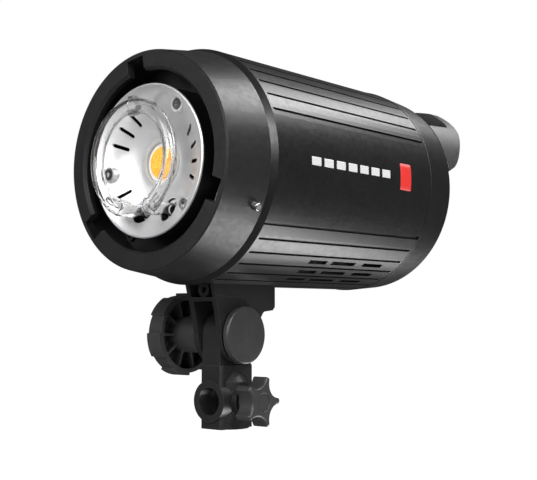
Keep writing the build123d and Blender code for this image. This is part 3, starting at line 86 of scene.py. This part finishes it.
# ---------------------------------------------------------------- materials
class Recipe:
    """A node material around one Principled shader, with its patterns laid out in the row's frame."""

    def __init__(self, name, colour, roughness, metallic=0.0):
        self.material = bpy.data.materials.new(name)
        self.material.use_nodes = True
        self.tree = self.material.node_tree
        self.shader = self.tree.nodes["Principled BSDF"]
        self.colour = (*colour, 1.0)
        self.roughness = roughness
        self.shader.inputs["Base Color"].default_value = self.colour
        self.shader.inputs["Roughness"].default_value = roughness
        self.shader.inputs["Metallic"].default_value = metallic
        self.place = self.node("ShaderNodeTexCoord").outputs["Object"]

    def node(self, kind, links=None, **values):
        made = self.tree.nodes.new(kind)
        for key, value in values.items():
            setattr(made, key, value)
        for key, value in (links or {}).items():
            if isinstance(value, bpy.types.NodeSocket):
                self.tree.links.new(value, made.inputs[key])
            else:
                made.inputs[key].default_value = value
        return made

    def set(self, socket, output):
        self.tree.links.new(output, self.shader.inputs[socket])

    def noise(self, size, detail=3.0, stretch=(1, 1, 1)):
        """Noise whose features are about size metres across, longer along the larger stretch values."""
        scale = [1 / (size * s) for s in stretch]
        spread = self.node("ShaderNodeMapping", {"Vector": self.place, "Scale": scale})
        made = self.node("ShaderNodeTexNoise", {"Vector": spread.outputs[0], "Scale": 1.0, "Detail": detail})
        return made.outputs["Fac"]

    def span(self, value, low, high, start=0.3, end=0.7):
        """Maps value from start..end onto low..high."""
        links = {"Value": value, "From Min": start, "From Max": end, "To Min": low, "To Max": high}
        return self.node("ShaderNodeMapRange", links).outputs["Result"]

    def mix(self, factor, first, second):
        links = {"Factor": factor, 6: first, 7: second}
        return self.node("ShaderNodeMix", links, data_type="RGBA").outputs[2]

    def math(self, operation, first, second):
        return self.node("ShaderNodeMath", {0: first, 1: second}, operation=operation).outputs[0]

    def bump(self, height, depth):
        self.set("Normal", self.node("ShaderNodeBump", {"Height": height, "Distance": depth}).outputs["Normal"])

    def edges(self, radius):
        """1 on convex and concave edges, 0 on open faces."""
        rounded = self.node("ShaderNodeBevel", {"Radius": radius}, samples=4).outputs["Normal"]
        true = self.node("ShaderNodeNewGeometry").outputs["Normal"]
        dot = self.node("ShaderNodeVectorMath", {0: rounded, 1: true}, operation="DOT_PRODUCT")
        return self.span(dot.outputs["Value"], 1.0, 0.0, start=0.75, end=0.985)

    def shade(self, amount):
        """The base colour made lighter or darker."""
        return tuple(min(1.0, c * amount) for c in self.colour[:3]) + (1.0,)


def moulded(name, colour, roughness, grain=0.35, depth=0.012, edge_highlight_and_wear_gain=2.2):
    """Injection-moulded or coated black: fine grain, faint mottling, and edges painted lighter, partly a painted
    highlight and partly wear on handled edges.
    """
    made = Recipe(name, colour, roughness)
    cloud = made.noise(14 * MM, detail=5)
    mottled = made.mix(made.span(cloud, 0, 1), made.shade(0.88), made.shade(1.14))
    # Painted highlight: every convex and concave edge is made lighter, partly standing for wear on handled edges;
    # the last argument sets how much lighter.
    edge_highlight_and_wear_mask = made.math("MULTIPLY", made.edges(0.45 * MM), made.span(made.noise(5 * MM), 0.45, 1.0))
    made.set("Base Color", made.mix(edge_highlight_and_wear_mask, mottled, made.shade(edge_highlight_and_wear_gain)))
    made.set("Roughness", made.span(made.noise(3 * MM, detail=6), roughness - 0.04, roughness + 0.05))
    made.bump(made.noise(grain * MM, detail=4), depth * MM)
    return made.material


def brushed(name, colour, roughness, stretch=(1, 1, 1), depth=0.006, tint=0.9):
    """Bare metal with fine machining lines along one direction."""
    made = Recipe(name, colour, roughness, metallic=1.0)
    lines = made.noise(0.25 * MM, detail=3, stretch=stretch)
    cloud = made.noise(8 * MM, detail=4)
    made.set("Base Color", made.mix(made.span(cloud, 0, 1), made.shade(tint), made.colour))
    made.set("Roughness", made.span(lines, roughness - 0.06, roughness + 0.08))
    made.bump(lines, depth * MM)
    return made.material


def satin_reflector():
    """Bead-blasted and anodised aluminium of the dish."""
    made = Recipe("satin_reflector", (0.9, 0.9, 0.91), 0.42, metallic=0.85)
    grain = made.noise(0.3 * MM, detail=4)
    cloud = made.noise(10 * MM, detail=3)
    made.set("Base Color", made.mix(made.span(cloud, 0, 1), made.shade(0.94), made.shade(1.03)))
    made.set("Roughness", made.span(grain, 0.38, 0.5))
    made.bump(grain, 0.008 * MM)
    return made.material


def clear_glass():
    """Drawn quartz: clear, with faint waves along the tube."""
    made = Recipe("quartz_glass", (1.0, 1.0, 1.0), 0.0)
    made.shader.inputs["Transmission Weight"].default_value = 1.0
    made.shader.inputs["IOR"].default_value = 1.46
    waves = made.noise(5 * MM, detail=2)
    made.set("Roughness", made.span(waves, 0.0, 0.05))
    made.bump(waves, 0.12 * MM)
    return made.material


def phosphor():
    """The lamp's yellow emitter: silicone over rows of small chips, with a faint painted glow."""
    made = Recipe("phosphor", (0.9, 0.4, 0.04), 0.42)
    cells = made.node("ShaderNodeTexVoronoi", {"Vector": made.place, "Scale": 620.0}, distance="CHEBYCHEV")
    chips = made.span(cells.outputs["Distance"], 0, 1, start=0.25, end=0.55)
    made.set("Base Color", made.mix(chips, (0.95, 0.5, 0.07, 1), (0.9, 0.36, 0.03, 1)))
    # Painted glow: the faint emission only brightens the yellow; the lamp is not lit.
    made.shader.inputs["Emission Color"].default_value = (1.0, 0.5, 0.05, 1)
    made.shader.inputs["Emission Strength"].default_value = 0.08
    made.bump(chips, 0.02 * MM)
    return made.material


def ceramic(name, colour, roughness=0.3):
    made = Recipe(name, colour, roughness)
    cloud = made.noise(4 * MM, detail=4)
    made.set("Base Color", made.mix(made.span(cloud, 0, 1), made.shade(0.94), made.colour))
    made.set("Roughness", made.span(cloud, roughness - 0.05, roughness + 0.1))
    made.bump(made.noise(0.4 * MM), 0.004 * MM)
    return made.material


def printed(name, colour):
    """Screen-printed ink: slightly uneven, with the moulding's grain showing through."""
    made = Recipe(name, colour, 0.5)
    speckle = made.noise(0.5 * MM, detail=5)
    made.set("Base Color", made.mix(made.span(speckle, 0, 1), made.shade(0.86), made.colour))
    made.set("Roughness", made.span(speckle, 0.44, 0.58))
    made.bump(speckle, 0.01 * MM)
    return made.material


def smoked_window():
    made = Recipe("smoked_window", (0.012, 0.016, 0.018), 0.08)
    smear = made.noise(9 * MM, detail=4)
    made.set("Roughness", made.span(smear, 0.05, 0.16))
    made.set("Base Color", made.mix(made.span(smear, 0, 1), made.shade(0.8), made.shade(1.4)))
    made.shader.inputs["Coat Weight"].default_value = 0.6
    return made.material


def tinted_lens(name, colour):
    made = Recipe(name, colour, 0.12)
    made.shader.inputs["Transmission Weight"].default_value = 0.35
    swirl = made.noise(2 * MM, detail=2)
    made.set("Roughness", made.span(swirl, 0.08, 0.18))
    made.set("Base Color", made.mix(made.span(swirl, 0, 1), made.shade(0.8), made.shade(1.2)))
    return made.material


def circuit_board():
    made = Recipe("circuit_board", (0.02, 0.16, 0.06), 0.35)
    grid = made.node("ShaderNodeTexVoronoi", {"Vector": made.place, "Scale": 300.0}, distance="MANHATTAN")
    tracks = made.span(grid.outputs["Distance"], 0, 1, start=0.35, end=0.45)
    made.set("Base Color", made.mix(tracks, made.colour, (0.05, 0.3, 0.12, 1)))
    made.set("Roughness", made.span(tracks, 0.32, 0.45))
    made.bump(tracks, 0.03 * MM)
    return made.material


MATERIALS = {
    "housing_plastic": moulded("housing_plastic", (0.008, 0.008, 0.0083), 0.34, depth=0.007),
    "ring_paint": moulded("ring_paint", (0.012, 0.012, 0.0123), 0.4, depth=0.008, edge_highlight_and_wear_gain=5.0),
    "inner_black": moulded("inner_black", (0.006, 0.006, 0.006), 0.5, depth=0.01, edge_highlight_and_wear_gain=1.8),
    "grip_plastic": moulded("grip_plastic", (0.03, 0.03, 0.031), 0.4, grain=0.5, depth=0.018, edge_highlight_and_wear_gain=3.2),
    "bracket_nylon": moulded("bracket_nylon", (0.012, 0.012, 0.013), 0.4, grain=0.45, depth=0.015, edge_highlight_and_wear_gain=4.5),
    "dish_aluminium": satin_reflector(),
    "flash_glass": clear_glass(),
    "lens_clear": smoked_window(),
    "lens_red": tinted_lens("lens_red", (0.45, 0.01, 0.01)),
    "led_yellow": phosphor(),
    "ceramic_white": ceramic("ceramic_white", (0.8, 0.8, 0.79)),
    "holder_grey": ceramic("holder_grey", (0.42, 0.42, 0.41), 0.4),
    "raw_aluminium": brushed("raw_aluminium", (0.7, 0.7, 0.72), 0.35, stretch=(1, 30, 1)),
    "steel": brushed("steel", (0.62, 0.62, 0.63), 0.28, stretch=(20, 1, 1)),
    "dark_steel": brushed("dark_steel", (0.09, 0.09, 0.095), 0.35),
    "dish_screw_steel": brushed("dish_screw_steel", (0.78, 0.78, 0.78), 0.2),
    "brass": brushed("brass", (0.75, 0.55, 0.25), 0.3),
    "friction_fibre": moulded("friction_fibre", (0.08, 0.06, 0.045), 0.8, grain=0.6, depth=0.05),
    "button_grey": moulded("button_grey", (0.12, 0.12, 0.125), 0.45, edge_highlight_and_wear_gain=1.5),
    "button_red": moulded("button_red", (0.35, 0.015, 0.012), 0.4, edge_highlight_and_wear_gain=1.5),
    "board_green": circuit_board(),
    "display_grey": ceramic("display_grey", (0.16, 0.19, 0.18), 0.25),
    "encoder_metal": brushed("encoder_metal", (0.5, 0.5, 0.5), 0.35),
    "capacitor_sleeve": moulded("capacitor_sleeve", (0.01, 0.014, 0.03), 0.2, grain=1.5, depth=0.01, edge_highlight_and_wear_gain=1.5),
    "winding": moulded("winding", (0.4, 0.25, 0.04), 0.4, grain=1.0, depth=0.03, edge_highlight_and_wear_gain=1.3),
}
PRINT_LIGHT = printed("print_light", (0.55, 0.55, 0.55))
PRINT_RED = printed("print_red", (0.6, 0.02, 0.015))


# ---------------------------------------------------------------- finished copies of the CAD pieces
def place(name, mesh, material, body):
    """A new piece with this mesh and material, riding on a CAD body."""
    piece = bpy.data.objects.new(name, mesh)
    bpy.context.scene.collection.objects.link(piece)
    mesh.materials.clear()
    mesh.materials.append(material)
    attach(piece, body)
    return piece


def cleaned_copy(source):
    """The CAD mesh with its seams joined and its flat faces made whole."""
    work = bmesh.new()
    work.from_mesh(source.data)
    bmesh.ops.remove_doubles(work, verts=work.verts, dist=0.002 * MM)
    bmesh.ops.dissolve_limit(work, angle_limit=radians(0.4), verts=work.verts, edges=work.edges)
    for face in work.faces:
        face.smooth = True
    mesh = bpy.data.meshes.new(source.name + "_finished")
    work.to_mesh(mesh)
    work.free()
    mesh.set_sharp_from_angle(angle=radians(32))
    return mesh


def round_edges(piece, width, angle=34):
    """Small moulded radii on the piece's sharp edges."""
    bevel = piece.modifiers.new("moulded_radii", "BEVEL")
    bevel.limit_method = "ANGLE"
    bevel.angle_limit = radians(angle)
    bevel.width = width * MM
    bevel.segments = 2
    bevel.use_clamp_overlap = True
    evened = piece.modifiers.new("even_shading", "WEIGHTED_NORMAL")
    evened.keep_sharp = True


# Nodes whose edges show, with the radius of those edges in millimetres.
EDGE_RADII = {
    "bayonet_ring": 0.35,
    "front_flange": 0.25,
    "upper_shell": 0.2,
    "lower_shell": 0.2,
    "rear_collar": 0.3,
    "tilt_bracket": 0.45,
    "stand_block": 0.5,
    "star_knob": 0.4,
    "tilt_knob": 0.4,
    "pivot_cap": 0.3,
    "handle": 0.8,
    "rear_panel": 0.2,
    "mains_inlet": 0.3,
    "switch_frame": 0.2,
    "fuse_holder": 0.2,
    "release_pin": 0.15,
    "reflector_cup": 0.2,
    "led_holder": 0.15,
}
slot_of = {entry["node"]: entry["material_slot"] for entry in frame["record"]["subparts"]}
REBUILT = ("flash_tube",)

for node_name, cad_object in frame["nodes"].items():
    if node_name in REBUILT:
        continue
    material = MATERIALS[slot_of[node_name]]
    if node_name in EDGE_RADII:
        body = cad_object["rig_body"]
        finished = place(node_name + "_finished", cleaned_copy(cad_object), material, body)
        round_edges(finished, EDGE_RADII[node_name])
        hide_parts(node_name)
    else:
        cad_object.data.materials.clear()
        cad_object.data.materials.append(material)


# ---------------------------------------------------------------- flash tube
def swept(points, radii, radius, sides):
    """A round tube through the points, with its radius scaled at each."""
    data = bpy.data.curves.new("route", "CURVE")
    data.dimensions = "3D"
    spline = data.splines.new("NURBS")
    spline.points.add(len(points) - 1)
    for target, point, scale in zip(spline.points, points, radii):
        target.co = (*point, 1.0)
        target.radius = scale
    spline.order_u = 3
    spline.use_endpoint_u = True
    spline.resolution_u = 4
    data.bevel_depth = radius
    data.bevel_resolution = sides // 4
    data.use_fill_caps = True
    holder = bpy.data.objects.new("route", data)
    bpy.context.scene.collection.objects.link(holder)
    ready = holder.evaluated_get(bpy.context.evaluated_depsgraph_get())
    mesh = bpy.data.meshes.new_from_object(ready)
    bpy.data.objects.remove(holder)
    return mesh


def on_ring(angle, radius=FLASH_R, y=FLASH_Y):
    return Vector((radius * cos(angle), y, HEAD_Z + radius * sin(angle)))


def knot(share):
    """How thick the glass is, swelling into a sealed knot near each end of the ring."""
    away = min(share, 1 - share)
    return 1.0 + 0.2 * max(0.0, 1 - abs(away - 0.085) / 0.04)


def glass_route():
    """Points along the glass from one end behind the dish, round the ring, to the other end."""
    steps = 64
    turn = 2 * pi + 2 * (-pi / 2 - FLASH_END_ANGLE)
    angles = [FLASH_END_ANGLE + turn * i / steps for i in range(steps + 1)]
    ring = [on_ring(a) for a in angles]
    first = [Vector((ring[0].x, y, ring[0].z)) for y in (LEG_END_Y, -0.055, -0.062, -0.068, FLASH_Y + 3 * MM)]
    last = [Vector((ring[-1].x, p.y, ring[-1].z)) for p in reversed(first)]
    return first + ring[1:-1] + last


def join_shells(outer, inner):
    """The glass wall between an outer skin and an inner skin that faces the bore."""
    wall = bmesh.new()
    wall.from_mesh(inner)
    bmesh.ops.reverse_faces(wall, faces=wall.faces)
    wall.from_mesh(outer)
    for face in wall.faces:
        face.smooth = True
    for vert in wall.verts:
        low = max(0.0, 1 - (vert.co.z - (HEAD_Z - FLASH_R)) / (9 * MM))
        if low > 0 and vert.co.y < FLASH_Y + 7 * MM:
            wave = noise.noise_vector(vert.co / (2.4 * MM)) * (0.75 * MM * low)
            wave.y = abs(wave.y)
            vert.co += wave
    mesh = bpy.data.meshes.new("flash_tube_glass")
    wall.to_mesh(mesh)
    wall.free()
    return mesh


route = glass_route()
thickness = [knot(i / (len(route) - 1)) for i in range(len(route))]
for point, scale in zip(route, thickness):
    point.y += (scale - 1.0) * GLASS_R
outer_skin = swept(route, thickness, GLASS_R, 32)
inner_skin = swept(route[1:-1], thickness[1:-1], GLASS_R * 0.74, 32)
glass = place("flash_tube_glass", join_shells(outer_skin, inner_skin), MATERIALS["flash_glass"], "head")
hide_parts("flash_tube")


def electrodes():
    """A tungsten rod with its sintered tip inside each end of the glass; the wire coil that seals it is not
    modelled.
    """
    for side in (-1, 1):
        end = -pi / 2 + side * (FLASH_END_ANGLE + pi / 2)
        angles = [end + side * radians(a) for a in (2, 8, 14, 20, 24)]
        rod = swept([on_ring(a) for a in angles], [0.5, 0.5, 1.0, 1.6, 1.3], 1.0 * MM, 16)
        place(f"electrode_{'left' if side < 0 else 'right'}", rod, MATERIALS["steel"], "head")


electrodes()


def trigger_wire():
    """The thin trigger wire laid along the front of the ring, with a wrap at each third."""
    wraps = (radians(90), radians(205), radians(-25))
    reach = FLASH_R + GLASS_R + 0.1 * MM
    laid = [on_ring(radians(-62 + 304 * i / 90), reach, FLASH_Y - 0.6 * MM) for i in range(91)]
    wire = swept(laid, [1.0] * len(laid), WIRE_R, 8)
    place("trigger_wire", wire, MATERIALS["steel"], "head")
    for number, at in enumerate(wraps):
        centre = on_ring(at)
        outward = (centre - on_ring(at, 0)).normalized()
        loop = []
        for i in range(25):
            turn = 2 * pi * i / 24
            offset = outward * cos(turn) + Vector((0, 1, 0)) * sin(turn)
            loop.append(centre + offset * (GLASS_R + WIRE_R))
        wrap = swept(loop, [1.0] * len(loop), WIRE_R, 8)
        place(f"wire_wrap_{number + 1}", wrap, MATERIALS["steel"], "head")


trigger_wire()


# ---------------------------------------------------------------- plain marks on the housing
def tube_patch(name, low_depth, high_depth, low_angle, high_angle, material):
    """A thin printed patch that follows the housing's side, between two depths and two angles."""
    work = bmesh.new()
    columns, rows = 12, 6
    radius = TUBE_R + 0.06 * MM
    grid = []
    for i in range(columns + 1):
        y = ring_low.y + (low_depth + (high_depth - low_depth) * i / columns) * MM
        line = []
        for j in range(rows + 1):
            angle = radians(low_angle + (high_angle - low_angle) * j / rows)
            line.append(work.verts.new((radius * cos(angle), y, HEAD_Z + radius * sin(angle))))
        grid.append(line)
    for i in range(columns):
        for j in range(rows):
            work.faces.new((grid[i][j], grid[i][j + 1], grid[i + 1][j + 1], grid[i + 1][j])).smooth = True
    bmesh.ops.recalc_face_normals(work, faces=work.faces)
    mesh = bpy.data.meshes.new(name)
    work.to_mesh(mesh)
    work.free()
    patch = place(name, mesh, material, "head")
    thick = patch.modifiers.new("ink", "SOLIDIFY")
    thick.thickness = 0.05 * MM
    thick.offset = 0
    return patch


def side_marks():
    """A plain row of light bars and one plain red bar on the smooth side panel."""
    for i in range(7):
        start = 62 + 11.5 * i
        tube_patch(f"side_bar_{i + 1}", start, start + 8.5, -1.5, 2.5, PRINT_LIGHT)
    tube_patch("side_bar_red", 151, 163, -6.5, 7.5, PRINT_RED)


side_marks()


# ---------------------------------------------------------------- prints on the rear panel
def rear_plate(name, x, z, width, height, material, y=None):
    """A thin printed rectangle on the rear panel or window, facing back."""
    work = bmesh.new()
    level = (panel_high.y - 0.8 * MM if y is None else y) + 0.03 * MM
    corners = [(-1, -1), (-1, 1), (1, 1), (1, -1)]
    verts = [work.verts.new((x + sx * width / 2, level, z + sz * height / 2)) for sx, sz in corners]
    work.faces.new(verts)
    solid = bmesh.ops.extrude_face_region(work, geom=work.faces[:])
    for item in solid["geom"]:
        if isinstance(item, bmesh.types.BMVert):
            item.co.y += 0.04 * MM
    bmesh.ops.recalc_face_normals(work, faces=work.faces)
    mesh = bpy.data.meshes.new(name)
    work.to_mesh(mesh)
    work.free()
    return place(name, mesh, material, "head")


def rear_prints():
    """Graduations round the dial and level bars in the display."""
    centre = (dial_low + dial_high) / 2
    radius = (dial_high.x - dial_low.x) / 2 + 2.6 * MM
    for i in range(11):
        angle = radians(225 - 27 * i)
        mark = rear_plate(f"dial_mark_{i + 1}", 0, 0, 0.5 * MM, 1.8 * MM, PRINT_LIGHT)
        mark.data.transform(Matrix.Rotation(angle - pi / 2, 4, (0, -1, 0)))
        mark.data.transform(Matrix.Translation((radius * cos(angle), 0, centre.z + radius * sin(angle))))
    width = display_high.x - display_low.x
    middle = (display_low.z + display_high.z) / 2
    for i in range(9):
        x = (0.36 - 0.09 * i) * width
        height = (3 + 1.2 * i) * MM
        z = middle - 6 * MM + height / 2
        rear_plate(f"level_bar_{i + 1}", x, z, 2.6 * MM, height, PRINT_LIGHT, y=display_high.y - 0.02 * MM)


rear_prints()


# ---------------------------------------------------------------- stage, light and camera
def floor():
    """A large pale floor well below the object."""
    work = bmesh.new()
    bmesh.ops.create_grid(work, x_segments=8, y_segments=8, size=12)
    mesh = bpy.data.meshes.new("floor")
    work.to_mesh(mesh)
    work.free()
    piece = bpy.data.objects.new("floor", mesh)
    piece.location = (0, 0, -0.55)
    bpy.context.scene.collection.objects.link(piece)
    pale = Recipe("pale_floor", (0.85, 0.85, 0.85), 0.9)
    distance = pale.node("ShaderNodeVectorMath", {0: pale.place}, operation="LENGTH").outputs["Value"]
    pale.shader.inputs["Emission Color"].default_value = (1, 1, 1, 1)
    pale.set("Emission Strength", pale.span(distance, 0.35, 1.0, start=0.4, end=2.6))
    mesh.materials.append(pale.material)
    piece.visible_glossy = False


def softbox(name, location, target, width, height, power):
    """A rectangular area light aimed at a point."""
    data = bpy.data.lights.new(name, "AREA")
    data.shape = "RECTANGLE"
    data.size = width
    data.size_y = height
    data.energy = power
    lamp = bpy.data.objects.new(name, data)
    lamp.location = location
    lamp.rotation_euler = (Vector(target) - Vector(location)).to_track_quat("-Z", "Y").to_euler()
    bpy.context.scene.collection.objects.link(lamp)


def studio():
    """Pale surroundings for the camera, dim ones for the reflections, and soft boxes above, below and in front."""
    world = bpy.data.worlds.new("studio")
    bpy.context.scene.world = world
    world.use_nodes = True
    nodes, links = world.node_tree.nodes, world.node_tree.links
    output = nodes["World Output"]
    seen = nodes["Background"]
    seen.inputs["Color"].default_value = (1, 1, 1, 1)
    seen.inputs["Strength"].default_value = 1.0
    dim = nodes.new("ShaderNodeBackground")
    dim.inputs["Color"].default_value = (1, 1, 1, 1)
    dim.inputs["Strength"].default_value = 0.05
    choose = nodes.new("ShaderNodeMixShader")
    path = nodes.new("ShaderNodeLightPath")
    links.new(path.outputs["Is Camera Ray"], choose.inputs[0])
    links.new(dim.outputs[0], choose.inputs[1])
    links.new(seen.outputs[0], choose.inputs[2])
    links.new(choose.outputs[0], output.inputs["Surface"])
    softbox("back_top", (0.44, 0.70, 1.02), HEAD_CENTRE, 0.62, 0.42, 9.5)
    softbox("back_low", (0.30, 0.48, -0.49), HEAD_CENTRE, 0.62, 0.34, 5.5)
    softbox("rim_top", (0.10, 1.0, 0.86), HEAD_CENTRE, 0.3, 0.22, 1.2)
    softbox("rim_low", (0.12, 0.78, -0.44), HEAD_CENTRE, 0.3, 0.22, 0.5)
    softbox("front", (0.05, -1.15, 0.55), HEAD_CENTRE, 0.8, 0.7, 12)
    softbox("right", (1.1, -0.35, 0.75), HEAD_CENTRE, 0.6, 0.5, 13)


def camera():
    """The photograph's viewpoint: in front, to the right, a little below the head."""
    azimuth, elevation = radians(40.069), radians(-3.99)
    data = bpy.data.cameras.new("camera")
    data.sensor_width = 36
    data.lens = 70.39
    lens = bpy.data.objects.new("camera", data)
    back = Vector((sin(azimuth) * cos(elevation), -cos(azimuth) * cos(elevation), sin(elevation)))
    right = Vector((cos(azimuth), sin(azimuth), 0))
    up = back.cross(right)
    lens.location = HEAD_CENTRE + right * 0.067547 - up * 0.04356 + back * 0.573609
    lens.rotation_mode = "QUATERNION"
    lens.rotation_quaternion = (-back).to_track_quat("-Z", "Y")
    data.clip_start = 0.01
    bpy.context.scene.collection.objects.link(lens)
    bpy.context.scene.camera = lens


floor()
studio()
camera()
bpy.context.scene.view_settings.view_transform = "Standard"
